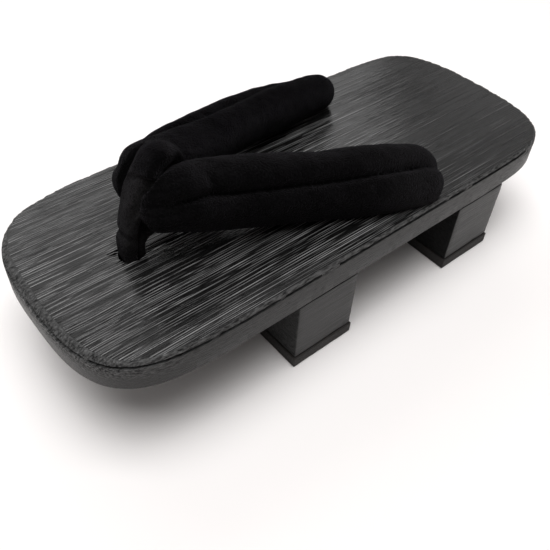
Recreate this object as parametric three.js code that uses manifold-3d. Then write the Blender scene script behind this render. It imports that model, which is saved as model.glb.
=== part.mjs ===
// Geta: a flat wooden sandal. A rounded board stands on two cross teeth shod with rubber, and a padded
// thong is held by a toe loop at the front hole and by its own two ends at the rear holes.
// Millimetres. Origin on the floor under the middle of the board, toe towards -Y, wearer's left at +X, +Z up.
import * as THREE from "three";
import { RoundedBoxGeometry } from "three/addons/geometries/RoundedBoxGeometry.js";
import { mergeVertices } from "three/addons/utils/BufferGeometryUtils.js";
import Module from "manifold-3d";

// ---- Driving dimensions ----
const LENGTH = 270;
const WIDTH = 111;
const BOARD_THICKNESS = 15.5;
const STANDING_HEIGHT = 40.5; // floor to the board's underside
const PAD_THICKNESS = 6;
const TOOTH_LENGTH = 34.4; // along the foot
const FRONT_TOOTH_Y = -29;
const REAR_TOOTH_Y = 74;
const GAP = 0.3; // between pieces that meet
const EDGE_BREAK = 1.4; // chamfer along the board's rims
const BLOCK_CORNER = 1; // rounding of the teeth and pads
const PAD_MARGIN = 0.6; // how far a pad stands out round its tooth
const TOOTH_INSET = 0.3; // tooth end in from the board's flank

const FRONT_HOLE = { x: 0, y: -90.3, radius: 5.7 };
const REAR_HOLES = [-38.5, 38.5].map((x) => ({ x, y: 41, radius: 5 }));
const NECK_CLEARANCE = 0.4; // between a neck and the wall of its hole

const BOARD_UNDER_Z = STANDING_HEIGHT;
const BOARD_TOP_Z = STANDING_HEIGHT + BOARD_THICKNESS;

const wasm = await Module();
wasm.setup();

// ---- Solids in and out of manifold-3d ----
const MERGE_DISTANCE = 1e-4;

function toSolid(geometry) {
  const bare = geometry.clone();
  for (const name of Object.keys(bare.attributes)) {
    if (name !== "position") bare.deleteAttribute(name);
  }
  const merged = mergeVertices(bare, MERGE_DISTANCE);
  return new wasm.Manifold(
    new wasm.Mesh({
      numProp: 3,
      vertProperties: new Float32Array(merged.attributes.position.array),
      triVerts: new Uint32Array(merged.index.array),
    }),
  );
}

function toGeometry(solid) {
  const mesh = solid.getMesh();
  const geometry = new THREE.BufferGeometry();
  geometry.setAttribute("position", new THREE.BufferAttribute(mesh.vertProperties, 3));
  geometry.setIndex(new THREE.BufferAttribute(mesh.triVerts, 1));
  geometry.computeVertexNormals();
  return geometry;
}

// A closed skin over a row of rings, with the first and last ring closed by a fan to its own middle.
function loft(rings) {
  const around = rings[0].length;
  const points = rings.flat();
  const faces = [];
  for (let row = 0; row + 1 < rings.length; row += 1) {
    for (let side = 0; side < around; side += 1) {
      const here = row * around + side;
      const beside = row * around + ((side + 1) % around);
      faces.push(here, beside, beside + around);
      faces.push(here, beside + around, here + around);
    }
  }
  for (const [ring, first] of [[rings[0], 0], [rings.at(-1), (rings.length - 1) * around]]) {
    const middle = new THREE.Vector3();
    for (const point of ring) middle.addScaledVector(point, 1 / around);
    points.push(middle);
    for (let side = 0; side < around; side += 1) {
      const here = first + side;
      const beside = first + ((side + 1) % around);
      if (first === 0) faces.push(points.length - 1, beside, here);
      else faces.push(points.length - 1, here, beside);
    }
  }
  const geometry = new THREE.BufferGeometry().setFromPoints(points);
  geometry.setIndex(faces);
  return geometry;
}

// ---- Board: two superellipse halves that meet at the middle of the length ----
// A high power of the length keeps the ends square to the foot, a low power of the width rounds the corners.
const OUTLINE_HALVES = {
  toe: { widthPower: 3.09, lengthPower: 8.4 },
  heel: { widthPower: 2.68, lengthPower: 11.2 },
};
const OUTLINE_STEPS = 112;
const HOLE_SIDES = 24;
const DRILL_LENGTH = BOARD_THICKNESS * 2;

function outlinePoint(angle) {
  const across = Math.cos(angle);
  const along = Math.sin(angle);
  const half = along < 0 ? OUTLINE_HALVES.toe : OUTLINE_HALVES.heel;
  return new THREE.Vector2(
    Math.sign(across) * Math.abs(across) ** (2 / half.widthPower) * (WIDTH / 2),
    Math.sign(along) * Math.abs(along) ** (2 / half.lengthPower) * (LENGTH / 2),
  );
}

function boardGeometry() {
  const rim = [];
  for (let step = 0; step < OUTLINE_STEPS; step += 1) {
    rim.push(outlinePoint((step / OUTLINE_STEPS) * Math.PI * 2));
  }
  const slab = new THREE.ExtrudeGeometry(new THREE.Shape(rim), {
    depth: BOARD_THICKNESS - 2 * EDGE_BREAK,
    bevelThickness: EDGE_BREAK,
    bevelSize: EDGE_BREAK,
    bevelOffset: -EDGE_BREAK,
    bevelSegments: 1,
    curveSegments: 1,
  });
  let board = toSolid(slab.translate(0, 0, BOARD_UNDER_Z + EDGE_BREAK));
  for (const hole of [FRONT_HOLE, ...REAR_HOLES]) {
    const drill = new THREE.CylinderGeometry(hole.radius, hole.radius, DRILL_LENGTH, HOLE_SIDES);
    const middleZ = BOARD_UNDER_Z + BOARD_THICKNESS / 2;
    board = board.subtract(toSolid(drill.rotateX(Math.PI / 2).translate(hole.x, hole.y, middleZ)));
  }
  return toGeometry(board);
}

// ---- Teeth and the rubber pads under them: plain cross blocks with eased edges ----
function blockGeometry({ across, along, low, high }) {
  return new RoundedBoxGeometry(across, along, high - low, 1, BLOCK_CORNER).translate(0, 0, (low + high) / 2);
}

const toothGeometry = () =>
  blockGeometry({
    across: WIDTH - 2 * TOOTH_INSET,
    along: TOOTH_LENGTH,
    low: PAD_THICKNESS + GAP,
    high: BOARD_UNDER_Z - GAP,
  });

const padGeometry = () =>
  blockGeometry({
    across: WIDTH - 2 * TOOTH_INSET + 2 * PAD_MARGIN,
    along: TOOTH_LENGTH + 2 * PAD_MARGIN,
    low: 0,
    high: PAD_THICKNESS,
  });

// ---- Toe loop: a soft band that rises from the front hole, lies over the thong's fold and returns ----
// Rows follow the band's middle in the plane between the two sides: up the toe side, over the fold, down into
// the crotch behind it and back to the hole. z is above the board, width is across the foot.
const LOOP_ROWS = [
  { y: -92.4, z: -2, width: 7, thickness: 4 },
  { y: -91.2, z: 7, width: 10, thickness: 4.6 },
  { y: -89.4, z: 16, width: 11, thickness: 5 },
  { y: -86.6, z: 23.5, width: 13.5, thickness: 5.6 },
  { y: -83.4, z: 29.5, width: 15, thickness: 6 },
  { y: -81, z: 35, width: 15.5, thickness: 6 },
  { y: -79, z: 39, width: 15.5, thickness: 6 },
  { y: -75.5, z: 41.2, width: 14.6, thickness: 6 },
  { y: -71.4, z: 40, width: 12, thickness: 6 },
  { y: -67.8, z: 36, width: 10, thickness: 5.8 },
  { y: -66, z: 30, width: 10, thickness: 5.4 },
  { y: -66.4, z: 22.5, width: 10, thickness: 5.2 },
  { y: -69.6, z: 15.8, width: 10, thickness: 5 },
  { y: -76, z: 12, width: 10, thickness: 4.6 },
  { y: -83.2, z: 9, width: 9.2, thickness: 4.4 },
  { y: -87, z: 4.6, width: 8.4, thickness: 4.2 },
  { y: -88.2, z: -2, width: 7, thickness: 4 },
];
const LOOP_CREST_Y = -75.5;
const LOOP_STEPS_PER_ROW = 3;
const LOOP_OUTLINE_STEPS_PER_ROW = 2;
const LOOP_SIDES = 20;
const LOOP_SQUARENESS = 2.5; // power of the section's superellipse
const NECK_SIDES = 16;
const KNOT = { radius: 8.5, halfHeight: 5, rings: 10 };
const LOOP_NECK_RISE = 0.5; // how far the necks stand above the board, inside the loop and the arms
const ARM_NECK_RISE = 5;

const loopPath = new THREE.CatmullRomCurve3(
  LOOP_ROWS.map((row) => new THREE.Vector3(0, row.y, BOARD_TOP_Z + row.z)),
);
const loopForm = new THREE.CatmullRomCurve3(
  LOOP_ROWS.map((row) => new THREE.Vector3(row.width, row.thickness, 0)),
  false,
  "catmullrom",
);

// Place runs from 0 at the front leg's foot to 1 at the rear leg's foot; grow swells the section all round.
function loopSection(place, grow) {
  const middle = loopPath.getPoint(place);
  const tangent = loopPath.getTangent(place);
  const form = loopForm.getPoint(place);
  const face = new THREE.Vector3(0, tangent.z, -tangent.y);
  const power = 2 / LOOP_SQUARENESS;
  const ring = [];
  for (let side = 0; side < LOOP_SIDES; side += 1) {
    const angle = (side / LOOP_SIDES) * Math.PI * 2;
    const across = Math.sign(Math.cos(angle)) * Math.abs(Math.cos(angle)) ** power;
    const out = Math.sign(Math.sin(angle)) * Math.abs(Math.sin(angle)) ** power;
    const point = middle.clone().addScaledVector(face, out * (form.y / 2 + grow));
    point.x += across * (form.x / 2 + grow);
    ring.push(point);
  }
  return ring;
}

function loopBand(grow = 0) {
  const steps = (LOOP_ROWS.length - 1) * LOOP_STEPS_PER_ROW;
  const rings = [];
  for (let step = 0; step <= steps; step += 1) rings.push(loopSection(step / steps, grow));
  return toSolid(loft(rings));
}

// A neck that passes down through a hole of the board and ends in a knot below it.
function neckAndKnot(hole, rise) {
  const radius = hole.radius - NECK_CLEARANCE;
  const knotMiddle = BOARD_UNDER_Z - GAP - KNOT.halfHeight;
  const top = BOARD_TOP_Z + rise;
  const neck = new THREE.CylinderGeometry(radius, radius, top - knotMiddle, NECK_SIDES)
    .rotateX(Math.PI / 2)
    .translate(hole.x, hole.y, (top + knotMiddle) / 2);
  const knot = new THREE.SphereGeometry(1, NECK_SIDES, KNOT.rings)
    .rotateX(Math.PI / 2)
    .scale(KNOT.radius, KNOT.radius, KNOT.halfHeight)
    .translate(hole.x, hole.y, knotMiddle);
  return toSolid(neck).add(toSolid(knot));
}

const loopSolid = () => loopBand().add(neckAndKnot(FRONT_HOLE, LOOP_NECK_RISE));

// ---- Thong: each arm is a padded tube with a sewn seam along it, so its section has two round lobes ----
// Rows run from the toe end back to the rear hole. y is along the foot, x out from the middle, z above the
// board; tilt is the rise of the band's width from level, in degrees, from the outer lobe to the inner one;
// lobe is a lobe's radius and spread the distance between the lobes' middles.
const ARMS = {
  left: [
    { y: -79, x: 6, z: 25.8, tilt: 44, lobe: 8.4, spread: 8.5 },
    { y: -56.8, x: 11.3, z: 19.9, tilt: 47, lobe: 9.4, spread: 11 },
    { y: -32.7, x: 19.9, z: 16, tilt: 50, lobe: 9.6, spread: 12 },
    { y: -8.6, x: 28.1, z: 12.6, tilt: 46, lobe: 9.6, spread: 12 },
    { y: 13.9, x: 35.7, z: 10, tilt: 37, lobe: 9.6, spread: 11 },
    { y: 33.8, x: 41, z: 7, tilt: 28, lobe: 9.4, spread: 10 },
  ],
  right: [
    { y: -79.6, x: 5, z: 29, tilt: 60, lobe: 8.7, spread: 9 },
    { y: -60, x: 15.5, z: 25.5, tilt: 47, lobe: 9.3, spread: 10 },
    { y: -36, x: 23, z: 21, tilt: 50, lobe: 9.5, spread: 10 },
    { y: -12, x: 29.9, z: 16.5, tilt: 47, lobe: 9.5, spread: 10 },
    { y: 14, x: 36.3, z: 10.4, tilt: 39, lobe: 9.6, spread: 10 },
    { y: 40.3, x: 38.2, z: 6, tilt: 34, lobe: 9.5, spread: 9 },
  ],
};
const ARM_STEPS_PER_ROW = 4;
const ARM_SIDES = 24;
const SEAM_DEPTH = 1; // how far the seam pulls in below the notch between the lobes
const SEAM_SPREAD = 12; // degrees round the section
const TOE_CAP = { reach: 7, steps: 4 };
const REAR_CAP = { reach: 12.5, steps: 5 };
const CAP_BLUNTNESS = 0.35; // share of a step by which a rounded end stops short of its pole
const BITE_WIDTH = 13; // across the foot, how much of the fold's front the loop draws in behind itself
const BITE_MARGIN = 2; // by which the prism inside the loop is wider than the bite
const ROOM_HEIGHT = 200; // tall enough to hold the whole thong

function armSolid(rows, side) {
  const path = new THREE.CatmullRomCurve3(
    rows.map((row) => new THREE.Vector3(side * row.x, row.y, BOARD_TOP_Z + row.z)),
  );
  const form = new THREE.CatmullRomCurve3(
    rows.map((row) => new THREE.Vector3(row.tilt, row.lobe, row.spread)),
    false,
    "catmullrom",
  );

  // Place is 0 at the toe and 1 at the rear; shift and fullness carry the section on into a rounded end.
  function section(place, shift = 0, fullness = 1) {
    const [tiltDegrees, lobe, spread] = form.getPoint(place).toArray();
    const tilt = THREE.MathUtils.degToRad(tiltDegrees);
    const tangent = path.getTangent(place);
    const middle = path.getPoint(place).addScaledVector(tangent, shift);
    const width = new THREE.Vector3(-side * Math.cos(tilt), 0, Math.sin(tilt));
    width.addScaledVector(tangent, -width.dot(tangent)).normalize();
    const face = new THREE.Vector3().crossVectors(tangent, width);
    const ring = [];
    for (let corner = 0; corner < ARM_SIDES; corner += 1) {
      const angle = (corner / ARM_SIDES) * Math.PI * 2;
      const fromSeam = THREE.MathUtils.radToDeg(Math.acos(Math.abs(Math.sin(angle))));
      const towardsLobe = (spread / 2) * Math.abs(Math.cos(angle));
      const lobes = towardsLobe + Math.sqrt(lobe ** 2 - ((spread / 2) * Math.sin(angle)) ** 2);
      const reach = (lobes - SEAM_DEPTH * Math.exp(-((fromSeam / SEAM_SPREAD) ** 2))) * fullness;
      const point = middle.clone().addScaledVector(width, Math.cos(angle) * reach);
      ring.push(point.addScaledVector(face, Math.sin(angle) * reach));
    }
    return ring;
  }

  const rings = [];
  for (let step = TOE_CAP.steps; step >= 1; step -= 1) rings.push(capRing(section, 0, TOE_CAP, step));
  const steps = (rows.length - 1) * ARM_STEPS_PER_ROW;
  for (let step = 0; step <= steps; step += 1) rings.push(section(step / steps));
  for (let step = 1; step <= REAR_CAP.steps; step += 1) rings.push(capRing(section, 1, REAR_CAP, step));
  return toSolid(loft(rings));
}

// One ring of a rounded end, on a quarter circle beyond the first or the last row.
function capRing(section, place, cap, step) {
  const angle = (step / (cap.steps + CAP_BLUNTNESS)) * (Math.PI / 2);
  const outwards = place === 0 ? -1 : 1;
  return section(place, outwards * cap.reach * Math.sin(angle), Math.cos(angle));
}

// What the loop holds: the area inside its path, as a prism across the foot.
function insideLoop(width) {
  const outline = loopPath
    .getPoints(LOOP_ROWS.length * LOOP_OUTLINE_STEPS_PER_ROW)
    .map((point) => new THREE.Vector2(point.y, point.z));
  const prism = new THREE.ExtrudeGeometry(new THREE.Shape(outline), { depth: width, bevelEnabled: false });
  const [x, y, z] = [new THREE.Vector3(1, 0, 0), new THREE.Vector3(0, 1, 0), new THREE.Vector3(0, 0, 1)];
  prism.applyMatrix4(new THREE.Matrix4().makeBasis(y, z, x)).translate(-width / 2, 0, 0);
  return toSolid(prism);
}

// The arms are one at the fold, the loop bites into it so that nothing stands out in front of the band, and
// the ends lie on the board over their necks.
function strapSolid() {
  const room = new THREE.BoxGeometry(WIDTH * 2, LENGTH * 2, ROOM_HEIGHT);
  const aboveBoard = toSolid(room.translate(0, 0, BOARD_TOP_Z + GAP + ROOM_HEIGHT / 2));
  const ahead = new THREE.BoxGeometry(BITE_WIDTH, LENGTH, ROOM_HEIGHT).translate(0, LOOP_CREST_Y - LENGTH / 2, 0);
  const arms = armSolid(ARMS.left, 1).add(armSolid(ARMS.right, -1)).intersect(aboveBoard);
  const outsideLoop = toSolid(ahead).subtract(insideLoop(BITE_WIDTH + BITE_MARGIN));
  let thong = arms.subtract(outsideLoop).subtract(loopBand(GAP));
  for (const hole of REAR_HOLES) thong = thong.add(neckAndKnot(hole, ARM_NECK_RISE));
  return thong;
}

// ---- The assembly ----
const FINISHES = {
  board: { color: 0x2b2b2d, roughness: 0.55 },
  tooth: { color: 0x323233, roughness: 0.5 },
  pad: { color: 0x2a211d, roughness: 0.9 },
  thong: { color: 0x08080a, roughness: 0.98 },
};

const sandal = new THREE.Group();
sandal.name = "geta";

function addPiece(name, geometry, finish, y = 0) {
  const piece = new THREE.Mesh(geometry, new THREE.MeshStandardMaterial({ metalness: 0, ...FINISHES[finish] }));
  piece.name = name;
  piece.position.y = y;
  sandal.add(piece);
}

addPiece("board", boardGeometry(), "board");
for (const [place, y] of [["front", FRONT_TOOTH_Y], ["rear", REAR_TOOTH_Y]]) {
  addPiece(`${place}_tooth`, toothGeometry(), "tooth", y);
  addPiece(`${place}_pad`, padGeometry(), "pad", y);
}
addPiece("strap", toGeometry(strapSolid()), "thong");
addPiece("front_loop", toGeometry(loopSolid()), "thong");

export default sandal;
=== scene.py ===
import bisect
import math
import random

import bmesh
import bpy
from mathutils import Matrix, Vector, kdtree, noise


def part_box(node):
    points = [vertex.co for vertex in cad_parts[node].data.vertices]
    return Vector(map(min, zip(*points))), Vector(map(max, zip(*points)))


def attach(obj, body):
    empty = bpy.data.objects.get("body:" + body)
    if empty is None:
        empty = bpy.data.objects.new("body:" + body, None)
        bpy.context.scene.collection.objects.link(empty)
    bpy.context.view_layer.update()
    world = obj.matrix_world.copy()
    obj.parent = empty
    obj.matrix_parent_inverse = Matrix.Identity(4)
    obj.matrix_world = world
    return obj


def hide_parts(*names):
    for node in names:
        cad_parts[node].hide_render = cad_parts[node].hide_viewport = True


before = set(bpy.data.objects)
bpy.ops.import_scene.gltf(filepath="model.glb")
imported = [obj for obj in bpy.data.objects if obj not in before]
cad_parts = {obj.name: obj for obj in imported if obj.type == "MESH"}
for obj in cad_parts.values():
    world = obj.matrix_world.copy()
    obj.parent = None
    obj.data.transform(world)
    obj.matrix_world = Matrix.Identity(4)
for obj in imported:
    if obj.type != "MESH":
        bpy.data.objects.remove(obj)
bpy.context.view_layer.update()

# ---- Board ----
# The plank that the foot stands on, cut from light wood, rounded at toe and heel and painted black. Its top
# is brushed so that the hard grain lines stand proud, its flanks are planed smooth, and the upper rim between
# them is a rough, chipped chamfer.
MM = 0.001
board_low, board_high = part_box("board")
HALF_WIDTH = (board_high.x - board_low.x) / 2
HALF_LENGTH = (board_high.y - board_low.y) / 2
UNDER = board_low.z
TOP = board_high.z
TOE_ROUNDING = (3.09, 8.4)  # powers of the width and the length in the outline of the toe half
HEEL_ROUNDING = (2.68, 11.2)
RIM_POINTS = 900
# From the underside to the top: inset from the flank, height above the underside, raggedness, rim share,
# depth of the saw's broken groove.
RIM_PROFILE = (
    (1.0, 0.0, 0.0, 0.0, 0.0),
    (0.3, 0.25, 0.1, 0.0, 0.0),
    (0.0, 1.0, 0.05, 0.0, 0.0),
    (0.0, 6.0, 0.0, 0.0, 0.0),
    (0.0, 11.6, 0.0, 0.0, 0.0),
    (0.05, 12.4, 0.15, 0.1, 0.0),
    (0.1, 12.5, 0.2, 0.3, 0.0),
    (0.2, 12.6, 0.3, 1.0, 2.8),
    (0.2, 13.8, 0.3, 1.0, 2.8),
    (0.25, 13.9, 0.5, 1.0, 0.0),
    (0.4, 14.2, 1.0, 1.0, 0.0),
    (0.6, 14.75, 1.0, 1.0, 0.0),
    (0.85, 15.15, 1.0, 1.0, 0.0),
    (1.15, 15.4, 0.8, 0.7, 0.0),
    (1.5, 15.5, 0.3, 0.1, 0.0),
)
TOP_EDGE = 15.3  # above this the brushed top begins
RIM_CHIP = 0.4  # how deep the rim's chips go at full raggedness
CHIP_SIZES = (5.5, 1.9, 0.9)  # of coarse, middling and fine chips along the rim
TOE_SPREAD = 1.6  # how much wider the rim's chamfer is across the toe
HEEL_SPREAD = 0.4  # the heel's part of that
CUT_LENGTH = 13  # of the stretches in which the saw has cut into the rim


def outline(count):
    """Evenly spaced spots on the board's outline with the way inwards at each."""
    fine = []
    for step in range(count * 8):
        angle = step / (count * 8) * math.tau
        across, along = math.cos(angle), math.sin(angle)
        width_power, length_power = TOE_ROUNDING if along < 0 else HEEL_ROUNDING
        x = math.copysign(abs(across) ** (2 / width_power), across) * HALF_WIDTH
        y = math.copysign(abs(along) ** (2 / length_power), along) * HALF_LENGTH
        fine.append(Vector((x, y, 0)))
    travelled = [0.0]
    for here, there in zip(fine, fine[1:] + fine[:1]):
        travelled.append(travelled[-1] + (there - here).length)
    spots = []
    for number in range(count):
        wanted = travelled[-1] * number / count
        step = bisect.bisect_right(travelled, wanted) - 1
        here, there = fine[step], fine[(step + 1) % len(fine)]
        share = (wanted - travelled[step]) / (travelled[step + 1] - travelled[step])
        spots.append(here.lerp(there, share))
    inwards = []
    for number in range(count):
        tangent = spots[(number + 2) % count] - spots[number - 2]
        inwards.append(Vector((-tangent.y, tangent.x, 0)).normalized())
    return spots, inwards


def start_ring(mesh, places):
    """One flat face with a numbered corner at each place, from which a shape is drawn out."""
    corner = mesh.verts.layers.int.get("corner") or mesh.verts.layers.int.new("corner")
    verts = bmesh.ops.create_circle(mesh, cap_ends=True, segments=len(places), radius=1)["verts"]
    for vert in verts:
        number = round(math.atan2(vert.co.y, vert.co.x) / math.tau * len(places)) % len(places)
        vert[corner] = number
    for vert in verts:
        vert.co = places[vert[corner]]
    return verts[0].link_faces[0]


def draw_out(mesh, face, places):
    """Extrude the face and put its corners at the places, in the order of their numbers."""
    corner = mesh.verts.layers.int["corner"]
    is_foot = all(edge.is_boundary for edge in face.edges)
    made = bmesh.ops.extrude_face_region(mesh, geom=[face])["geom"]
    if not is_foot:
        mesh.faces.remove(face)
    new_face = next(part for part in made if isinstance(part, bmesh.types.BMFace))
    for vert in new_face.verts:
        vert.co = places[vert[corner]]
    return new_face


def finish_piece(name, mesh, material, sharp_angle=None):
    """Close the mesh off as a smooth-shaded piece that rides on the sandal."""
    data = bpy.data.meshes.new(name)
    mesh.to_mesh(data)
    mesh.free()
    data.shade_smooth()
    if sharp_angle:
        data.set_sharp_from_angle(angle=math.radians(sharp_angle))
    data.materials.append(material)
    piece = bpy.data.objects.new(name, data)
    bpy.context.collection.objects.link(piece)
    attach(piece, "root")
    return piece


def soft_step(low, high, value):
    share = min(max((value - low) / (high - low), 0.0), 1.0)
    return share * share * (3 - 2 * share)


board = bmesh.new()
for layer_name in ("ridge", "groove", "top", "rim"):
    board.verts.layers.float.new(layer_name)
rim_spots, rim_inwards = outline(RIM_POINTS)
face = None
for inset, height, ragged, rim_share, saw_cut in RIM_PROFILE:
    places = []
    cuts = []
    for spot, inward in zip(rim_spots, rim_inwards):
        end_share = abs(inward.y) ** 2
        toe_share = end_share if spot.y < 0 else HEEL_SPREAD * end_share
        spread = 1 + TOE_SPREAD * toe_share + 0.3 * noise.noise(spot / (12 * MM))
        broken = soft_step(-0.3, -0.1, noise.noise(spot / (CUT_LENGTH * MM) + Vector((0, 0, 4))))
        at = spot + inward * (inset * spread + saw_cut * broken) * MM + Vector((0, 0, UNDER + height * MM))
        coarse_size, middling_size, fine_size = CHIP_SIZES
        coarse = 0.6 * noise.noise(at / (coarse_size * MM))
        coarse += 0.8 * noise.noise(at / (middling_size * MM) + Vector((9, 0, 0)))
        fine = noise.noise(at / (fine_size * MM))
        chip = ragged * RIM_CHIP * (coarse + 0.4 * fine) * (1 + 0.35 * end_share)
        at += inward * max(chip + 0.12 * ragged, -inset) * MM
        if rim_share > 0.2:
            at.z -= max(chip * 0.6, 0) * MM
        places.append(at)
        cuts.append(broken if saw_cut else 0.0)
    face = start_ring(board, places) if face is None else draw_out(board, face, places)
    corner_layer = board.verts.layers.int["corner"]
    rim_layer = board.verts.layers.float["rim"]
    groove_layer = board.verts.layers.float["groove"]
    for vert in face.verts:
        torn = soft_step(0.6, 0.95, abs(vert.co.y) / HALF_LENGTH) * soft_step(5, 12, height)
        vert[rim_layer] = max(rim_share, torn) if height < TOP_EDGE else rim_share
        vert[groove_layer] = cuts[vert[corner_layer]]

# Three holes are drilled through before the top is brushed: one for the loop, two for the thong's rear ends.
# Each is given as out from the middle, along the foot, and its radius.
FRONT_HOLE = (0.0, -90.3, 5.7)
REAR_HOLES = ((38.5, 41.0, 5.0), (-38.5, 41.0, 5.0))


def apply_modifiers(piece):
    """Replace the piece's mesh with what its modifiers make of it."""
    seen = piece.evaluated_get(bpy.context.evaluated_depsgraph_get())
    data = bpy.data.meshes.new_from_object(seen)
    piece.modifiers.clear()
    old_data = piece.data
    piece.data = data
    bpy.data.meshes.remove(old_data)


def rough_piece(name, mesh):
    """A bare object from the mesh, for a modifier to work on."""
    data = bpy.data.meshes.new(name)
    mesh.to_mesh(data)
    mesh.free()
    piece = bpy.data.objects.new(name, data)
    bpy.context.collection.objects.link(piece)
    return piece


bmesh.ops.recalc_face_normals(board, faces=board.faces)
drill = bmesh.new()
for hole_x, hole_y, hole_radius in (FRONT_HOLE, *REAR_HOLES):
    through = Matrix.Translation((hole_x * MM, hole_y * MM, (TOP + UNDER) / 2))
    bmesh.ops.create_cone(
        drill,
        cap_ends=True,
        segments=40,
        radius1=hole_radius * MM,
        radius2=hole_radius * MM,
        depth=(TOP - UNDER) * 1.4,
        matrix=through,
    )
plank = rough_piece("plank", board)
drill_piece = rough_piece("drill", drill)
boring = plank.modifiers.new("boring", "BOOLEAN")
boring.operation = "DIFFERENCE"
boring.solver = "EXACT"
boring.object = drill_piece
apply_modifiers(plank)
board = bmesh.new()
board.from_mesh(plank.data)
bpy.data.objects.remove(plank)
bpy.data.objects.remove(drill_piece)
top_layer = board.verts.layers.float["top"]
for vert in board.verts:
    vert[top_layer] = 1.0 if vert.co.z > TOP - 0.01 * MM else 0.0

# The top is scored along the foot, crest and foot of every grain line, and across often enough for the lines
# to rise and fade on their way.
GRAIN_FLATS = (0.05, 0.65)  # least and greatest width of the worn flat between two lines
GRAIN_WALL = 0.15  # width of the slope up to a crest and down to a groove
GRAIN_CRESTS = (0.08, 0.32)  # least and greatest width of a crest
GRAIN_RISE = 0.14  # height of a crest
GROOVE_DEPTH = 0.26
CROSS_CUTS = 3.0  # between two cuts across
WAVE_LENGTHS = (24, 8)  # over which a line rises and fades, in long and in short waves
SPLINTER_DROP = 0.8  # where wood has broken away round the toe side of the front hole
WEAR_DEPTH = 0.12  # of the soft hollows worn into the top
LINE_SWAY = 0.5  # how far a line wanders to either side
HEEL_SMOOTHNESS = 0.4  # the share of the grain that is worn away at the heel
random.seed(7)
grain_lines = []  # place across, share of the rise, share of the groove, number of the line
reached = -HALF_WIDTH + 1.4 * MM
while reached < HALF_WIDTH - 2.2 * MM:
    strength = random.uniform(0.75, 1.0) if random.random() < 0.4 else random.uniform(0.3, 0.65)
    steps = (
        (random.uniform(*GRAIN_FLATS), 0, 0),
        (GRAIN_WALL, strength, 0),
        (random.uniform(*GRAIN_CRESTS), strength, 0),
        (GRAIN_WALL, 0, strength),
        (GRAIN_WALL, 0, 0),
    )
    number = len(grain_lines)
    for width, rise, groove in steps:
        reached += width * MM
        grain_lines.append((reached, rise, groove, number))


def score_top(axis, places):
    """Cut the top's faces along a line at each place on the axis, from the lowest place up."""
    normal = Vector((0, 0, 0))
    normal[axis] = 1
    ahead = [part for part in board.faces if all(vert[top_layer] > 0.99 for vert in part.verts)]
    for place in places:
        parts = set(ahead)
        for top_face in ahead:
            parts.update(top_face.edges)
            parts.update(top_face.verts)
        cut = bmesh.ops.bisect_plane(board, geom=list(parts), plane_co=normal * place, plane_no=normal)
        whole = [part for part in cut["geom"] if isinstance(part, bmesh.types.BMFace)]
        ahead = [part for part in whole if part.calc_center_median()[axis] > place]


score_top(0, [line[0] for line in grain_lines])
cross_places = []
cross = -HALF_LENGTH + CROSS_CUTS * MM
while cross < HALF_LENGTH:
    cross_places.append(cross)
    cross += CROSS_CUTS * MM
score_top(1, cross_places)

ridge_layer = board.verts.layers.float["ridge"]
groove_layer = board.verts.layers.float["groove"]
for vert in board.verts:
    if vert[top_layer] < 0.99:
        continue
    place = min(bisect.bisect_left(grain_lines, (vert.co.x - 0.01 * MM,)), len(grain_lines) - 1)
    _, rise, groove, number = grain_lines[place]
    long_wave, short_wave = WAVE_LENGTHS
    wave = noise.noise(Vector((number * 3.7, vert.co.y / (long_wave * MM), 2.0)))
    wave += 0.5 * noise.noise(Vector((number * 3.7, vert.co.y / (short_wave * MM), 7.0)))
    smooth_heel = 1 - HEEL_SMOOTHNESS * soft_step(0.02, 0.09, vert.co.y)
    band = 0.9 + 0.45 * noise.noise(Vector((vert.co.x / (7 * MM), vert.co.y / (70 * MM), 11.0)))
    full = min(max(0.8 + 1.6 * wave, 0), 1.3) * band
    rise *= full * smooth_heel
    groove *= min(max(full, 0.25), 1)
    vert[ridge_layer] = min(rise * smooth_heel, 1)
    vert[groove_layer] = min(groove, 1)
    worn = WEAR_DEPTH * noise.noise(Vector((vert.co.x / (18 * MM), vert.co.y / (60 * MM), 5.0)))
    at_rim = any(link.calc_center_median().z < TOP - 0.02 * MM for link in vert.link_faces)
    hole_way = (Vector((vert.co.x, vert.co.y)) - Vector(FRONT_HOLE[:2]) * MM) / MM
    splinter = 0.0
    if hole_way.y < 0 and abs(hole_way.x) < 5 and hole_way.length < 6.2 + 5 * abs(wave):
        splinter = SPLINTER_DROP
    lift = GRAIN_RISE * (rise - 0.5) - GROOVE_DEPTH * groove + worn
    vert.co.z += ((0.4 if at_rim else 1.0) * lift - splinter) * MM
    sway = LINE_SWAY * noise.noise(Vector((vert.co.x / (14 * MM), vert.co.y / (45 * MM), 8.0)))
    inner = min(HALF_WIDTH - abs(vert.co.x), HALF_LENGTH - abs(vert.co.y))
    vert.co.x += sway * soft_step(0.004, 0.016, inner) * MM
bmesh.ops.recalc_face_normals(board, faces=board.faces)


def add_node(tree, kind, inputs=None, **settings):
    """A shader node with its settings, and with each input set or linked."""
    node = tree.nodes.new("ShaderNode" + kind)
    for name, value in settings.items():
        setattr(node, name, value)
    for name, value in (inputs or {}).items():
        if isinstance(value, bpy.types.NodeSocket):
            tree.links.new(value, node.inputs[name])
        else:
            node.inputs[name].default_value = value
    return node


def calculate(tree, operation, first, second=0.0, third=0.0, clamp=False):
    inputs = {0: first, 1: second, 2: third}
    return add_node(tree, "Math", inputs, operation=operation, use_clamp=clamp).outputs[0]


def rescale(tree, value, low, high, new_low=0.0, new_high=1.0):
    inputs = {"Value": value, "From Min": low, "From Max": high, "To Min": new_low, "To Max": new_high}
    return add_node(tree, "MapRange", inputs).outputs["Result"]


def blend_value(tree, share, first, second):
    return add_node(tree, "Mix", {0: share, 2: first, 3: second}, data_type="FLOAT").outputs[0]


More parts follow.
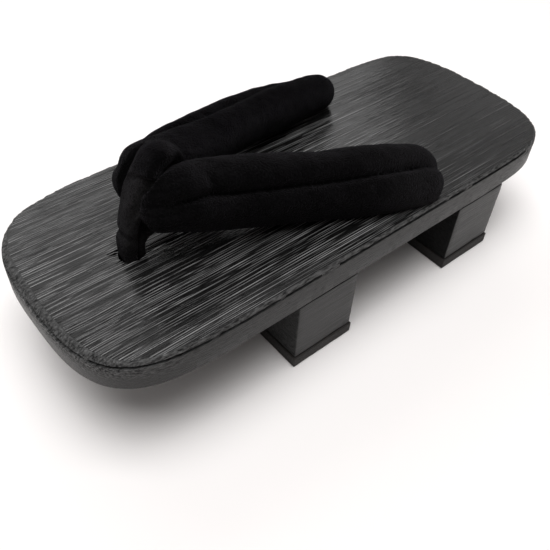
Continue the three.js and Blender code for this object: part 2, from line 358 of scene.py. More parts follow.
def blend_colour(tree, share, first, second):
    return add_node(tree, "Mix", {0: share, 6: first, 7: second}, data_type="RGBA").outputs[2]


def grey(value, warmth=0.0):
    return (value * (1 + warmth), value, value * (1 - warmth), 1)


def new_group(name, inputs, outputs):
    """A shader node group with named sockets; returns it with its input and output nodes."""
    group = bpy.data.node_groups.new(name, "ShaderNodeTree")
    for socket_name, kind in inputs:
        group.interface.new_socket(socket_name, in_out="INPUT", socket_type=kind)
    for socket_name, kind in outputs:
        group.interface.new_socket(socket_name, in_out="OUTPUT", socket_type=kind)
    return group, group.nodes.new("NodeGroupInput"), group.nodes.new("NodeGroupOutput")


def use_group(tree, group, inputs):
    node = tree.nodes.new("ShaderNodeGroup")
    node.node_tree = group
    for name, value in inputs.items():
        if isinstance(value, bpy.types.NodeSocket):
            tree.links.new(value, node.inputs[name])
        else:
            node.inputs[name].default_value = value
    return node


def new_material(name):
    """A material with an empty tree but for its surface shader; returns it, the tree and the shader."""
    material = bpy.data.materials.new(name)
    material.use_nodes = True
    tree = material.node_tree
    return material, tree, tree.nodes["Principled BSDF"]


def object_place(tree):
    return add_node(tree, "TexCoord").outputs["Object"]


# Grain along the plank: long thin lines, and short dark pores between them.
wood_grain, grain_in, grain_out = new_group(
    "wood_grain",
    [
        ("Place", "NodeSocketVector"),
        ("Line Width", "NodeSocketFloat"),
        ("Line Length", "NodeSocketFloat"),
        ("Line Depth", "NodeSocketFloat"),
    ],
    [("Lines", "NodeSocketFloat"), ("Pores", "NodeSocketFloat")],
)
apart = add_node(wood_grain, "SeparateXYZ", {0: grain_in.outputs["Place"]})
for output, thinner, shorter, low, high in (
    ("Lines", 1.0, 1.0, 0.34, 0.66),
    ("Pores", 0.55, 0.16, 0.52, 0.68),
):
    width = calculate(wood_grain, "MULTIPLY", grain_in.outputs["Line Width"], thinner)
    length = calculate(wood_grain, "MULTIPLY", grain_in.outputs["Line Length"], shorter)
    stretched = add_node(
        wood_grain,
        "CombineXYZ",
        {
            0: calculate(wood_grain, "DIVIDE", apart.outputs[0], width),
            1: calculate(wood_grain, "DIVIDE", apart.outputs[1], length),
            2: calculate(wood_grain, "DIVIDE", apart.outputs[2], grain_in.outputs["Line Depth"]),
        },
    )
    line_inputs = {"Vector": stretched.outputs[0], "Scale": 1.0, "Detail": 3.0, "Roughness": 0.6}
    lines = add_node(wood_grain, "TexNoise", line_inputs)
    wood_grain.links.new(rescale(wood_grain, lines.outputs[0], low, high), grain_out.inputs[output])

# Pits and crumbs on broken or sawn wood and on rubber.
pitting, pitting_in, pitting_out = new_group(
    "pitting",
    [("Place", "NodeSocketVector"), ("Size", "NodeSocketFloat")],
    [("Pits", "NodeSocketFloat")],
)
pit_scale = calculate(pitting, "DIVIDE", 1.0, pitting_in.outputs["Size"])
pit_inputs = {"Vector": pitting_in.outputs["Place"], "Scale": pit_scale, "Detail": 4.0, "Roughness": 0.7}
pit_noise = add_node(pitting, "TexNoise", pit_inputs)
pitting.links.new(rescale(pitting, pit_noise.outputs[0], 0.35, 0.65), pitting_out.inputs["Pits"])

black_wood, tree, shader = new_material("brushed_black_wood")
place = object_place(tree)
ridge = add_node(tree, "Attribute", attribute_name="ridge").outputs["Fac"]
top_share = add_node(tree, "Attribute", attribute_name="top").outputs["Fac"]
rim_share = add_node(tree, "Attribute", attribute_name="rim").outputs["Fac"]
fine_grain = use_group(
    tree, wood_grain, {"Place": place, "Line Width": 0.0007, "Line Length": 0.035, "Line Depth": 0.05}
)
flank_grain = use_group(
    tree, wood_grain, {"Place": place, "Line Width": 0.0009, "Line Length": 0.025, "Line Depth": 0.0006}
)
torn_grain = use_group(
    tree, wood_grain, {"Place": place, "Line Width": 0.0008, "Line Length": 0.0035, "Line Depth": 0.0008}
)
pits = torn_grain.outputs["Lines"]
blotches = add_node(tree, "TexNoise", {"Vector": place, "Scale": 38.0, "Detail": 3.0}).outputs[0]
groove = add_node(tree, "Attribute", attribute_name="groove").outputs["Fac"]
# Painted highlight: the crests of the grain lines are painted pale to stand in for the gloss they catch, and
# the fine grain adds a little tone of its own.
crest = rescale(tree, ridge, 0.15, 0.95)
painted_crest_highlight = calculate(tree, "MULTIPLY", crest, rescale(tree, fine_grain.outputs["Lines"], 0, 1, 0.45, 1.15))
crest_highlight_and_grain = calculate(tree, "MULTIPLY_ADD", fine_grain.outputs["Lines"], 0.02, painted_crest_highlight)
top_colour = blend_colour(tree, crest_highlight_and_grain, grey(0.0012), grey(0.25))
flank_colour = blend_colour(tree, flank_grain.outputs["Lines"], grey(0.001), grey(0.004, 0.02))
# Painted shade: on the broken rim the pits between the crumbs are painted near black; the crumbs are paler.
rim_colour = blend_colour(tree, pits, grey(0.0008), grey(0.09))
colour = blend_colour(tree, top_share, flank_colour, top_colour)
colour = blend_colour(tree, rim_share, colour, rim_colour)
# Painted shade: the groove beside each grain line and the saw's cut in the rim are painted near black where
# light does not reach into them.
colour = blend_colour(tree, groove, colour, grey(0.0005))
tree.links.new(colour, shader.inputs["Base Color"])
top_rough = blend_value(tree, groove, rescale(tree, blotches, 0.3, 0.7, 0.1, 0.2), 0.6)
rough = blend_value(tree, top_share, rescale(tree, flank_grain.outputs["Pores"], 0, 1, 0.4, 0.6), top_rough)
rough = blend_value(tree, rim_share, rough, rescale(tree, pits, 0, 1, 0.95, 0.35))
tree.links.new(rough, shader.inputs["Roughness"])
top_height = calculate(tree, "MULTIPLY", fine_grain.outputs["Lines"], 0.15)
flank_height = calculate(tree, "MULTIPLY", flank_grain.outputs["Lines"], 0.4)
height = blend_value(tree, top_share, flank_height, top_height)
height = blend_value(tree, rim_share, height, calculate(tree, "MULTIPLY", pits, 2.0))
bump = add_node(tree, "Bump", {"Height": height, "Strength": 0.8, "Distance": 0.00018})
tree.links.new(bump.outputs[0], shader.inputs["Normal"])
shader.inputs["IOR"].default_value = 1.4

board_piece = finish_piece("board_wood", board, black_wood, sharp_angle=22)

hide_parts("board")

# ---- Teeth and pads ----
# Two cross blocks of the same black wood stand under the board. Their ends are planed flush with the flanks,
# and their front and rear faces are left rough. A slab of dark rubber is glued under each.
tooth_wood, tree, shader = new_material("planed_black_wood")
place = object_place(tree)
facing = add_node(tree, "NewGeometry").outputs["Normal"]
facing_along = add_node(tree, "SeparateXYZ", {0: facing}).outputs[1]
cross_face = calculate(tree, "ABSOLUTE", facing_along)
cross_share = rescale(tree, cross_face, 0.5, 0.8)
# Painted shade: the rear tooth's front face, which lies under the board facing the front tooth, is painted
# near black and made fully rough.
along_foot = add_node(tree, "SeparateXYZ", {0: place}).outputs[1]
under_heel = calculate(tree, "GREATER_THAN", along_foot, 0.0)
painted_shade_face = calculate(tree, "MULTIPLY", under_heel, rescale(tree, facing_along, -0.5, -0.8))
end_grain = use_group(
    tree, wood_grain, {"Place": place, "Line Width": 0.0010, "Line Length": 0.04, "Line Depth": 0.0008}
)
pits = use_group(tree, pitting, {"Place": place, "Size": 0.0024}).outputs["Pits"]
end_colour = blend_colour(tree, end_grain.outputs["Lines"], grey(0.003), grey(0.008))
cross_colour = blend_colour(tree, pits, grey(0.0004), grey(0.015))
cross_colour = blend_colour(tree, painted_shade_face, cross_colour, grey(0.0002))
tree.links.new(blend_colour(tree, cross_share, end_colour, cross_colour), shader.inputs["Base Color"])
end_rough = rescale(tree, end_grain.outputs["Lines"], 0, 1, 0.34, 0.46)
cross_rough = blend_value(tree, painted_shade_face, 0.56, 1.0)
tree.links.new(blend_value(tree, cross_share, end_rough, cross_rough), shader.inputs["Roughness"])
shader.inputs["IOR"].default_value = 1.4
cross_height = calculate(tree, "MULTIPLY", pits, 8.0)
tooth_height = blend_value(tree, cross_share, end_grain.outputs["Lines"], cross_height)
bump = add_node(tree, "Bump", {"Height": tooth_height, "Strength": 0.7, "Distance": 0.00012})
tree.links.new(bump.outputs[0], shader.inputs["Normal"])

rubber, tree, shader = new_material("dark_rubber")
place = object_place(tree)
crumbs = use_group(tree, pitting, {"Place": place, "Size": 0.0009}).outputs["Pits"]
scuffs = use_group(tree, pitting, {"Place": place, "Size": 0.008}).outputs["Pits"]
rubber_colour = blend_colour(tree, crumbs, (0.003, 0.0022, 0.0016, 1), (0.008, 0.0056, 0.0044, 1))
dusty = calculate(tree, "MULTIPLY", scuffs, 0.5)
rubber_colour = blend_colour(tree, dusty, rubber_colour, (0.019, 0.0145, 0.0125, 1))
tree.links.new(rubber_colour, shader.inputs["Base Color"])
tree.links.new(rescale(tree, crumbs, 0, 1, 0.6, 0.85), shader.inputs["Roughness"])
bump = add_node(tree, "Bump", {"Height": crumbs, "Strength": 0.8, "Distance": 0.00015})
tree.links.new(bump.outputs[0], shader.inputs["Normal"])


def block(name, node, material, edge, wobble, facets):
    """A cross block with eased edges and slightly uneven faces, in the space of its node."""
    low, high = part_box(node)
    mesh = bmesh.new()
    bmesh.ops.create_cube(mesh, size=1)
    bmesh.ops.scale(mesh, vec=high - low, verts=mesh.verts)
    bmesh.ops.translate(mesh, vec=(low + high) / 2, verts=mesh.verts)
    for axis, pitch in ((0, facets), (1, facets), (2, facets / 2)):
        count = round((high[axis] - low[axis]) / (pitch * MM))
        for step in range(1, count):
            spot = Vector((0, 0, 0))
            spot[axis] = low[axis] + (high[axis] - low[axis]) * step / count
            normal = Vector((0, 0, 0))
            normal[axis] = 1
            parts = [*mesh.verts, *mesh.edges, *mesh.faces]
            bmesh.ops.bisect_plane(mesh, geom=parts, plane_co=spot, plane_no=normal)
    sharp = [side for side in mesh.edges if side.calc_face_angle(0) > 1]
    bmesh.ops.bevel(
        mesh, geom=sharp, offset=edge * MM, segments=3, profile=0.5, affect="EDGES", material=-1
    )
    for vert in mesh.verts:
        way = vert.normal
        uneven = noise.noise(vert.co / (7 * MM)) + 0.5 * noise.noise(vert.co / (2.5 * MM))
        vert.co -= way * wobble * MM * abs(uneven)
    bmesh.ops.recalc_face_normals(mesh, faces=mesh.faces)
    piece = finish_piece(name, mesh, material, sharp_angle=40)
    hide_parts(node)
    return piece


for end in ("front", "rear"):
    block(f"{end}_tooth_wood", f"{end}_tooth", tooth_wood, edge=0.7, wobble=0.34, facets=4)
    block(f"{end}_pad_rubber", f"{end}_pad", rubber, edge=0.6, wobble=0.2, facets=3)

# ---- Padded thong ----
# Two arms of stuffed black velvet that meet at the fold behind the toes. Each arm is one tube sewn down along
# its middle, so that it stands up in two round lobes; the toe loop draws both of them in at the fold.
# From the fold to the rear hole: along the foot, out from the middle, above the board, rise of the width from
# level in degrees, radius of a lobe, distance between the lobes' middles.
ARMS = {
    1: (
        (-82, 10.3, 28.4, 70, 7.2, 9.6),
        (-70, 11.2, 25.8, 61, 8.2, 11.4),
        (-56.8, 11.3, 21.1, 55, 9.5, 12.2),
        (-32.7, 18.4, 16.7, 50, 10, 12.3),
        (-8.6, 27, 12.8, 42, 10, 11.9),
        (13.9, 35.8, 10.5, 32, 10, 12.4),
        (33.8, 41, 6.9, 22, 9.7, 12),
    ),
    -1: (
        (-80.2, 6.2, 30.3, 66, 9.4, 9),
        (-60, 15.6, 25.6, 28, 9.6, 9.5),
        (-36, 23, 20.3, 15, 9.6, 9.2),
        (-12, 30.3, 16.1, 13, 9.4, 9),
        (14, 36, 10.6, 25, 10.1, 9),
        (40.5, 39.2, 6.1, 36, 9.3, 8.4),
    ),
}
ARM_SIDES = 32
ARM_STEPS = 28
FOLD_CAP = 7.0  # length of the rounded end at the fold
REAR_CAP = 13.2  # length of the rounded end over the rear hole
CAP_STEPS = 5
RUN_STEP = 0.002  # share of a soft piece's length over which its run is taken


def along_rows(rows, share):
    """The values at a share of the way along rows, on a smooth curve through them."""
    span = share * (len(rows) - 1)
    number = min(int(span), len(rows) - 2)
    start, end = Vector(rows[number]), Vector(rows[number + 1])
    before = Vector(rows[number - 1]) if number else start * 2 - end
    after = Vector(rows[number + 2]) if number + 2 < len(rows) else end * 2 - start
    t = span - number
    bend = (before * 2 - start * 5 + end * 4 - after) * t * t
    bend += (start * 3 - before - end * 3 + after) * t * t * t
    return start + ((end - before) * t + bend) / 2


def arm_frame(side, share):
    """The middle of an arm, its run, its width and its face direction, and its two section sizes."""
    y, x, z, tilt, lobe, spread = along_rows(ARMS[side], share)
    before = along_rows(ARMS[side], max(share - RUN_STEP, 0))
    after = along_rows(ARMS[side], min(share + RUN_STEP, 1))
    run = Vector((side * (after[1] - before[1]), after[0] - before[0], after[2] - before[2]))
    run.normalize()
    width = Vector((-side * math.cos(math.radians(tilt)), 0, math.sin(math.radians(tilt))))
    width = (width - run * width.dot(run)).normalized()
    return Vector((side * x, y, z)), run, width, run.cross(width), lobe, spread


def arm_ring(side, share, shift, fullness):
    """One section of an arm, moved on along its run by the shift."""
    middle, run, width, face_way, lobe, spread = arm_frame(side, share)
    places = []
    for corner in range(ARM_SIDES):
        angle = corner / ARM_SIDES * math.tau
        towards_lobe = spread / 2 * abs(math.cos(angle))
        reach = (towards_lobe + math.sqrt(lobe**2 - (spread / 2 * math.sin(angle)) ** 2)) * fullness
        spot = middle + run * shift + (width * math.cos(angle) + face_way * math.sin(angle)) * reach
        places.append(spot * MM + Vector((0, 0, TOP)))
    return places


strap = bmesh.new()
for side in ARMS:
    rings = []
    for step in range(CAP_STEPS, 0, -1):
        angle = step / (CAP_STEPS + 0.35) * math.pi / 2
        rings.append(arm_ring(side, 0, -FOLD_CAP * math.sin(angle), math.cos(angle)))
    for step in range(ARM_STEPS + 1):
        rings.append(arm_ring(side, step / ARM_STEPS, 0, 1.0))
    for step in range(1, CAP_STEPS + 1):
        angle = step / (CAP_STEPS + 0.35) * math.pi / 2
        rings.append(arm_ring(side, 1, REAR_CAP * math.sin(angle), math.cos(angle)))
    face = start_ring(strap, rings[0])
    for places in rings[1:]:
        face = draw_out(strap, face, places)
bmesh.ops.recalc_face_normals(strap, faces=strap.faces)


# Short soft nap that lies one way here and the other way there.
velvet_nap, nap_in, nap_out = new_group(
    "velvet_nap",
    [("Place", "NodeSocketVector"), ("Size", "NodeSocketFloat")],
    [("Nap", "NodeSocketFloat"), ("Patches", "NodeSocketFloat")],
)
nap_scale = calculate(velvet_nap, "DIVIDE", 1.0, nap_in.outputs["Size"])
nap_inputs = {"Vector": nap_in.outputs["Place"], "Scale": nap_scale, "Detail": 3.0, "Roughness": 0.7}
nap_noise = add_node(velvet_nap, "TexNoise", nap_inputs)
patch_scale = calculate(velvet_nap, "DIVIDE", 0.09, nap_in.outputs["Size"])
patch_inputs = {"Vector": nap_in.outputs["Place"], "Scale": patch_scale, "Detail": 4.0, "Roughness": 0.6}
patch_noise = add_node(velvet_nap, "TexNoise", patch_inputs)
velvet_nap.links.new(rescale(velvet_nap, nap_noise.outputs[0], 0.38, 0.64), nap_out.inputs["Nap"])
velvet_nap.links.new(rescale(velvet_nap, patch_noise.outputs[0], 0.42, 0.6), nap_out.inputs["Patches"])

black_velvet, tree, shader = new_material("black_velvet")
place = object_place(tree)
nap = use_group(tree, velvet_nap, {"Place": place, "Size": 0.0008})
in_seam = add_node(tree, "Attribute", attribute_name="seam").outputs["Fac"]
laid_nap = (0.0003, 0.0003, 0.0004, 1)
lifted_nap = (0.0015, 0.0014, 0.0017, 1)
velvet_colour = blend_colour(tree, nap.outputs["Patches"], laid_nap, lifted_nap)
# Painted light: a mask read from the mesh lifts the nap's speckle and lightens the velvet towards a pale grey
# where light falls on it.
painted_nap_light = add_node(tree, "Attribute", attribute_name="painted_nap_light").outputs["Fac"]
painted_light_on_nap = calculate(tree, "MULTIPLY", nap.outputs["Nap"], rescale(tree, painted_nap_light, 0, 1, 0.06, 0.7))
painted_light_on_nap = calculate(tree, "MULTIPLY_ADD", painted_nap_light, 0.35, painted_light_on_nap)
velvet_colour = blend_colour(tree, painted_light_on_nap, velvet_colour, (0.0175, 0.0168, 0.0172, 1))
# Painted shade: along the sewn seam the velvet is painted a plain dark, without the painted light on the nap.
tree.links.new(blend_colour(tree, in_seam, velvet_colour, grey(0.0008)), shader.inputs["Base Color"])
tree.links.new(rescale(tree, nap.outputs["Nap"], 0, 1, 0.8, 1.0), shader.inputs["Roughness"])
shader.inputs["Specular IOR Level"].default_value = 0.006
shader.inputs["Sheen Weight"].default_value = 0.05
shader.inputs["Sheen Roughness"].default_value = 0.18
shader.inputs["Sheen Tint"].default_value = (0.95, 0.9, 1.0, 1)
bump = add_node(tree, "Bump", {"Height": nap.outputs["Nap"], "Strength": 0.9, "Distance": 0.0004})
tree.links.new(bump.outputs[0], shader.inputs["Normal"])

STRAP_VOXEL = 2.4  # the arms are joined into one skin of this mesh size
STRAP_SWELL = 1.6  # the most that the stuffing may push a point out
STRAP_FRAMES = 20

strap_piece = finish_piece("padded_thong", strap, black_velvet)
remesh = strap_piece.modifiers.new("remesh", "REMESH")
remesh.mode = "VOXEL"
remesh.voxel_size = STRAP_VOXEL * MM
remesh.use_smooth_shade = True
apply_modifiers(strap_piece)


def swell(piece, cap, frames):
    """Blow the piece up as stuffed cloth, and let no point go further than the cap."""
    resting = [vert.co.copy() for vert in piece.data.vertices]
    cloth = piece.modifiers.new("stuffing", "CLOTH")
    cloth.settings.quality = 6
    cloth.settings.use_pressure = True
    cloth.settings.uniform_pressure_force = 4
    cloth.settings.effector_weights.gravity = 0
    cloth.settings.tension_stiffness = 10
    cloth.settings.compression_stiffness = 10
    cloth.settings.bending_stiffness = 0.3
    scene = bpy.context.scene
    for number in range(1, frames + 1):
        scene.frame_set(number)
    apply_modifiers(piece)
    scene.frame_set(1)
    for vert, rest in zip(piece.data.vertices, resting):
        way = vert.co - rest
        if way.length > cap * MM:
            vert.co = rest + way.normalized() * cap * MM


swell(strap_piece, STRAP_SWELL, STRAP_FRAMES)
finer = strap_piece.modifiers.new("finer", "SUBSURF")
finer.levels = 2
finer.render_levels = 2
apply_modifiers(strap_piece)

CREASE_SHARE = 0.312  # how far along the loop the wrapping's lower edge lies over the stem
LIP_REACH = 0.26  # how much further the band reaches at its lip
# The toe loop, whose inside the fold has to fit. Rows follow the band's middle from the front hole up the toe
# side, over the fold, down behind it and back: along the foot, above the board, width, thickness.
LOOP_ROWS = (
    (-91.9, -2, 9, 5.8),
    (-91.6, 7, 10.6, 6.2),
    (-89.6, 16, 11, 5.4),
    (-86.6, 23.5, 13.5, 5.6),
    (-83.4, 29.5, 15.4, 6),
    (-81, 35, 16, 6),
    (-79, 39, 15.6, 6),
    (-75, 41.6, 14.8, 6),
    (-70.2, 41, 12.6, 6),
    (-66.4, 37.2, 10, 5.8),
    (-65, 30, 9, 5.4),
    (-66.4, 22.5, 10, 5.2),
    (-69.6, 15.8, 10, 5),
    (-76, 12, 10, 4.6),
    (-83.6, 9.6, 9.2, 4.4),
    (-87, 5.2, 8.6, 4.2),
    (-87.4, -2, 8, 4),
)


def loop_frame(share):
    y, z, width, thickness = along_rows(LOOP_ROWS, share)
    before = along_rows(LOOP_ROWS, max(share - RUN_STEP, 0))
    after = along_rows(LOOP_ROWS, min(share + RUN_STEP, 1))
    run = Vector((0, after[0] - before[0], after[1] - before[1])).normalized()
    return Vector((0, y, z)), run, Vector((0, run.z, -run.y)), width, thickness


def band_reach(share, width, way):
    """How far the band reaches from its middle: to the wearer's left for a positive way, else right."""
    if way > 0:
        lip = LIP_REACH * math.exp(-(((share - CREASE_SHARE - 0.02) / 0.05) ** 2))
        behind = 0.55 * soft_step(0.46, 0.57, share) * (1 - soft_step(0.66, 0.75, share))
        return width / 2 * (1 + lip - behind)
    return width / 2 * (1 - 0.3 * math.exp(-(((share - CREASE_SHARE - 0.06) / 0.09) ** 2)))


LOOP_LOOKUP = 240
HOLD_REACH = 12.0  # how far outside the band the fold is still drawn in
loop_samples = []
for number in range(LOOP_LOOKUP + 1):
    loop_samples.append((number / LOOP_LOOKUP, *loop_frame(number / LOOP_LOOKUP)))
inside_middle = Vector((0, -76.0, 24.0))


def hold_in_loop(spot):
    """Where a point of the fold goes when the band is drawn tight round it, in millimetres."""
    nearest = min(loop_samples, key=lambda sample: (sample[1].y - spot.y) ** 2 + (sample[1].z - spot.z) ** 2)
    place, middle, _, face_way, width, thickness = nearest
    reach = band_reach(place, width, spot.x)
    out = face_way if face_way.dot(middle - inside_middle) > 0 else -face_way
    depth = (Vector((0, spot.y, spot.z)) - middle).dot(out)
    share = 1 - soft_step(reach - 1.4, reach + (1.4 if spot.x > 0 else 0.4), abs(spot.x))
    share *= 1 - soft_step(0.5, 0.56, place) * (1 - soft_step(0.74, 0.8, place))
    limit = -thickness / 2 - 0.3
    if share > 0 and limit < depth < HOLD_REACH:
        spot = spot - out * (depth - limit) * share
    return spot


SEAM_LOOKUP = 80
arm_samples = []
for side in ARMS:
    for number in range(SEAM_LOOKUP + 1):
        arm_samples.append((side, number / SEAM_LOOKUP, arm_frame(side, number / SEAM_LOOKUP)))
nearest_sample = kdtree.KDTree(len(arm_samples))
for number, (_, _, sample) in enumerate(arm_samples):
    nearest_sample.insert(sample[0], number)
nearest_sample.balance()
arm_axes = {}
for side in ARMS:
    arm_axes[side] = kdtree.KDTree(SEAM_LOOKUP + 1)
    for number in range(SEAM_LOOKUP + 1):
        arm_axes[side].insert(arm_frame(side, number / SEAM_LOOKUP)[0], number)
    arm_axes[side].balance()

SEAM_DEPTH = 1.7  # of the soft trough along the seam
SEAM_NICK = 0.7  # of the sharp line at its bottom
VALLEY_DEPTH = 3.0  # of the crease where the two arms part behind the fold
RUMPLES = ((0.35, 11), (0.16, 4.5))  # height and size of the stuffing's large and small lumps
LEFT_GATHERS = 1.5  # depth of the creases gathered at the fold
RIGHT_GATHERS = 0.6
seam_values = []
painted_light_values = []
vertices = strap_piece.data.vertices
normals = [vert.normal.copy() for vert in vertices]
for vert, normal in zip(vertices, normals):
    spot = (vert.co - Vector((0, 0, TOP))) / MM
    side, share, (middle, _, width, _, _, _) = arm_samples[nearest_sample.find(spot)[1]]
    across = (spot - middle).dot(width)
    inner = soft_step(0.0, 0.12, share)
    pucker = 1 + 0.25 * math.sin(share * 210) * inner
    trough = SEAM_DEPTH * math.exp(-((across / 2.1) ** 2))
    trough += SEAM_NICK * pucker * math.exp(-((across / 0.9) ** 2))
    trough *= (0.35 + 0.65 * inner if side > 0 else inner) * (1 - 0.6 * soft_step(0.93, 1.0, share))
    rumple = sum(height * noise.noise(spot / size) for height, size in RUMPLES)
    gathers = noise.noise(Vector((across / 2.3, share * 4, side * 5)))
    near_fold = math.exp(-(((share - 0.06) / 0.09) ** 2))
    gaps = [axis.find(spot)[2] for axis in arm_axes.values()]
    valley = VALLEY_DEPTH * math.exp(-(((gaps[0] - gaps[1]) / 2.2) ** 2)) * soft_step(-76, -68, spot.y)
    crease = (LEFT_GATHERS if side > 0 else RIGHT_GATHERS) * near_fold * max(-gathers, 0)
    spot = spot - normal * (trough + crease + valley - rumple * (0.4 + 0.6 * inner))
    spot = hold_in_loop(spot)
    spot.z = max(spot.z, 0.3)
    vert.co = spot * MM + Vector((0, 0, TOP))
    seam_values.append(min(math.exp(-((across / 0.8) ** 2)) * inner, 1))
    # Painted light on the nap: the left arm is lit more towards its rear end, the right arm only at its outer
    # lobe by the fold, and the rest of the right arm is left dark.
    left_painted_light = 0.2 + 0.28 * soft_step(0.7, 1.0, share)
    right_painted_light = 0.3 * (1 - soft_step(0.03, 0.16, share))
    painted_light_values.append(left_painted_light if side > 0 else right_painted_light)
painted_light_mark = strap_piece.data.attributes.new("painted_nap_light", "FLOAT", "POINT")
painted_light_mark.data.foreach_set("value", painted_light_values)
seam_mark = strap_piece.data.attributes.new("seam", "FLOAT", "POINT")
seam_mark.data.foreach_set("value", seam_values)
strap_piece.data.shade_smooth()
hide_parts("strap")

# ---- Toe loop ----
# A flat stuffed band of the same velvet. It comes up gathered out of the front hole, widens into a lip over
# the wrapping that holds the fold together, and goes back down to the hole behind it.
LOOP_SIDES = 36
LOOP_STEPS = 150
SQUARENESS = 3.2  # power of the band's section, from 2 for an oval up
LAP_HEIGHT = 1.5  # of the wrapping over the stem
FAN_DEPTH = 0.6  # of the folds that fan out below the crease
PINCH_HEIGHT = 10.6  # above the board, where the stem is drawn in


def loop_ring(share):
    middle, _, face_way, width, thickness = loop_frame(share)
    places = []
    for corner in range(LOOP_SIDES):
        angle = corner / LOOP_SIDES * math.tau
        across = math.copysign(abs(math.cos(angle)) ** (2 / SQUARENESS), math.cos(angle)) * width / 2
        out = math.copysign(abs(math.sin(angle)) ** (2 / SQUARENESS), math.sin(angle)) * thickness / 2
        outer_side = math.sin(angle) < 0
        crease = CREASE_SHARE + 0.0052 * across
        lapped = soft_step(crease - 0.004, crease + 0.007, share) * (1 - soft_step(0.40, 0.52, share))
        lapped -= 0.45 * math.exp(-(((share - crease + 0.008) / 0.008) ** 2))
        lapped *= LAP_HEIGHT * soft_step(-6, -1, across)
        pinch = 1.1 * math.exp(-(((middle.z - PINCH_HEIGHT) / 1.5) ** 2)) if share < 0.3 else 0.0
        fan = 0.0
        if share < crease:
            fan = FAN_DEPTH * soft_step(12, 20, middle.z)
            fan *= math.sin(across / (2 + middle.z / 9) * 3.1 + 0.8)
            rolled_edge = math.exp(-(((across - width / 2 + 1.5) / 1.3) ** 2))
            fan -= 1.3 * rolled_edge * soft_step(16, 25, middle.z)
        if outer_side:
            out += pinch - fan - lapped
        across *= 1 - 0.1 * pinch
        across *= band_reach(share, width, across) / (width / 2)
        spot = middle + face_way * out
        spot.x = across
        places.append(spot * MM + Vector((0, 0, TOP)))
    return places


loop = bmesh.new()
face = start_ring(loop, loop_ring(0))
for step in range(1, LOOP_STEPS + 1):
    face = draw_out(loop, face, loop_ring(step / LOOP_STEPS))
bmesh.ops.recalc_face_normals(loop, faces=loop.faces)
for vert in loop.verts:
    spot = (vert.co - Vector((0, 0, TOP))) / MM
    vert.co += vert.normal * MM * (0.3 * noise.noise(spot / 5) + 0.12 * noise.noise(spot / 2))
# Painted light on the nap: full on the stem below the crease, a little on the rest of the toe side and less
# behind the fold.
painted_light_layer = loop.verts.layers.float.new("painted_nap_light")
for vert in loop.verts:
    spot = (vert.co - Vector((0, 0, TOP))) / MM
    below_crease = 1 - soft_step(36, 39, spot.z + 0.25 * (spot.y + 80))
    vert[painted_light_layer] = max(below_crease, 0.14) if spot.y < -78 else 0.08
loop_piece = finish_piece("toe_loop", loop, black_velvet)
finer = loop_piece.modifiers.new("finer", "SUBSURF")
finer.levels = 1
finer.render_levels = 1
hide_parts("front_loop")

# ---- Knots ----
# Each end of the thong goes down through its hole as a neck and is knotted under the board, where a turn of
# its cord keeps it from pulling out.
KNOT_TURN = 5.6  # radius of the turns
KNOT_CORD = 2.45  # radius of the cord
KNOT_ANGLE = 400
NECK_SIDES = 20
for name, (hole_x, hole_y, hole_radius), rise in (
    ("front_knot", FRONT_HOLE, 0.0),
    ("left_knot", REAR_HOLES[0], 4.0),
    ("right_knot", REAR_HOLES[1], 4.0),
):
    knot = bmesh.new()
    hole = Vector((hole_x, hole_y, 0)) * MM
    turn_top = UNDER - (0.4 + KNOT_CORD) * MM
    corner = knot.verts.layers.int.new("corner")
    cord = bmesh.ops.create_circle(knot, cap_ends=True, segments=14, radius=KNOT_CORD * MM)["verts"]
    upright = Matrix.Rotation(math.pi / 2, 4, "X")
    bmesh.ops.transform(knot, matrix=upright, verts=cord)
    bmesh.ops.translate(knot, vec=hole + Vector((KNOT_TURN * MM, 0, turn_top)), verts=cord)
    bmesh.ops.spin(
        knot,
        geom=[*cord, *cord[0].link_faces, *{edge for vert in cord for edge in vert.link_edges}],
        cent=hole,
        axis=(0, 0, 1),
        dvec=(0, 0, -2 * KNOT_CORD * MM / 40),
        angle=math.radians(KNOT_ANGLE),
        steps=44,
        use_duplicate=False,
    )
    neck_radius = (hole_radius - 0.9) * MM
    neck_places = []
    for height, fullness in (
        (TOP + rise * MM, 1.0),
        (UNDER + 4 * MM, 1.0),
        (UNDER - 1 * MM, 0.85),
        (UNDER - 8 * MM, 0.75),
        (UNDER - 9.6 * MM, 0.5),
    ):
        ring = []
        for number in range(NECK_SIDES):
            angle = number / NECK_SIDES * math.tau
            ring.append(hole + Vector((math.cos(angle), math.sin(angle), 0)) * neck_radius * fullness)
            ring[-1].z = height
        neck_places.append(ring)
    face = start_ring(knot, neck_places[0])
    for ring in neck_places[1:]:
        face = draw_out(knot, face, ring)
    bmesh.ops.recalc_face_normals(knot, faces=knot.faces)
    knot_piece = finish_piece(name, knot, black_velvet)
    finer = knot_piece.modifiers.new("finer", "SUBSURF")
    finer.levels = 1
    finer.render_levels = 1

# ---- Floor, light and camera ----
# A plain white floor under broad soft light, seen from the near toe corner.
FLOOR_SIZE = 2.6
floor_paint, tree, shader = new_material("white_floor")
cloudy = add_node(tree, "TexNoise", {"Vector": object_place(tree), "Scale": 3.0}).outputs[0]
floor_colour = blend_colour(tree, cloudy, (0.90, 0.875, 0.866, 1), (0.92, 0.895, 0.886, 1))
tree.links.new(floor_colour, shader.inputs["Base Color"])
shader.inputs["Roughness"].default_value = 0.9
shader.inputs["Specular IOR Level"].default_value = 0.1
floor_mesh = bmesh.new()
bmesh.ops.create_grid(floor_mesh, x_segments=4, y_segments=4, size=FLOOR_SIZE / 2)
floor_data = bpy.data.meshes.new("floor")
floor_mesh.to_mesh(floor_data)
floor_mesh.free()
floor_data.materials.append(floor_paint)
floor = bpy.data.objects.new("floor", floor_data)
bpy.context.collection.objects.link(floor)

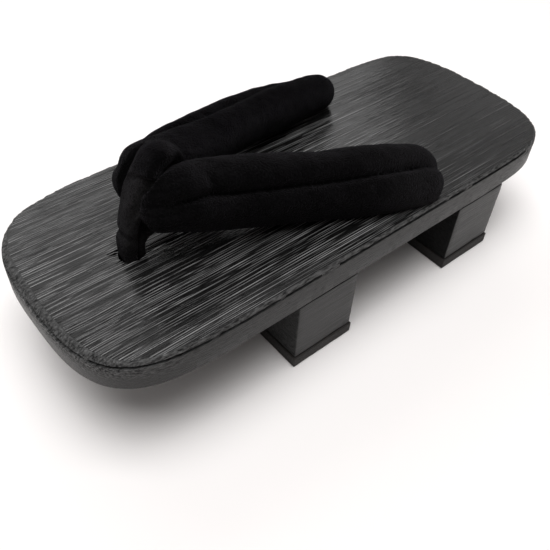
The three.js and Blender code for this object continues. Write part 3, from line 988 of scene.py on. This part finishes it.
sky = bpy.data.worlds.new("studio")
sky.use_nodes = True
tree = sky.node_tree
seen_straight = add_node(tree, "LightPath").outputs["Is Camera Ray"]
tree.nodes["Background"].inputs["Color"].default_value = (1, 0.95, 0.93, 1)
tree.links.new(blend_value(tree, seen_straight, 0.16, 0.95), tree.nodes["Background"].inputs["Strength"])
bpy.context.scene.world = sky

# Soft boxes: where each stands, its width and height, its power.
for name, stand, width, height, power in (
    ("overhead_box", (0.15, -0.15, 1.5), 1.1, 1.1, 24.5),
    ("left_box", (-1.35, 0.4, 0.85), 1.9, 1.3, 11),
    ("rear_box", (-0.6, 1.6, 0.85), 1.0, 1.0, 1.6),
):
    lamp_data = bpy.data.lights.new(name, "AREA")
    lamp_data.shape = "RECTANGLE"
    lamp_data.size = width
    lamp_data.size_y = height
    lamp_data.energy = power
    lamp = bpy.data.objects.new(name, lamp_data)
    lamp.location = stand
    lamp.rotation_euler = (-Vector(stand)).to_track_quat("-Z", "Y").to_euler()
    bpy.context.collection.objects.link(lamp)

CAMERA_AZIMUTH = math.radians(47.77)  # round from the toe towards the wearer's left
CAMERA_ELEVATION = math.radians(46.56)
CAMERA_ROLL = math.radians(3.58)
CAMERA_DISTANCE = 0.2977
AIM = Vector((0.0262, -0.0349, 0.0289))
back = Vector(
    (
        math.sin(CAMERA_AZIMUTH) * math.cos(CAMERA_ELEVATION),
        -math.cos(CAMERA_AZIMUTH) * math.cos(CAMERA_ELEVATION),
        math.sin(CAMERA_ELEVATION),
    )
)
level_right = Vector((0, 0, 1)).cross(back).normalized()
level_up = back.cross(level_right)
right = level_right * math.cos(CAMERA_ROLL) + level_up * math.sin(CAMERA_ROLL)
up = level_up * math.cos(CAMERA_ROLL) - level_right * math.sin(CAMERA_ROLL)
camera_data = bpy.data.cameras.new("camera")
camera_data.lens = 42.9
camera_data.sensor_width = 36
camera_data.clip_start = 0.01
camera = bpy.data.objects.new("camera", camera_data)
turn = Matrix((right, up, back)).transposed().to_4x4()
camera.matrix_world = Matrix.Translation(AIM + back * CAMERA_DISTANCE) @ turn
bpy.context.collection.objects.link(camera)
bpy.context.scene.camera = camera
bpy.context.scene.view_settings.view_transform = "Standard"
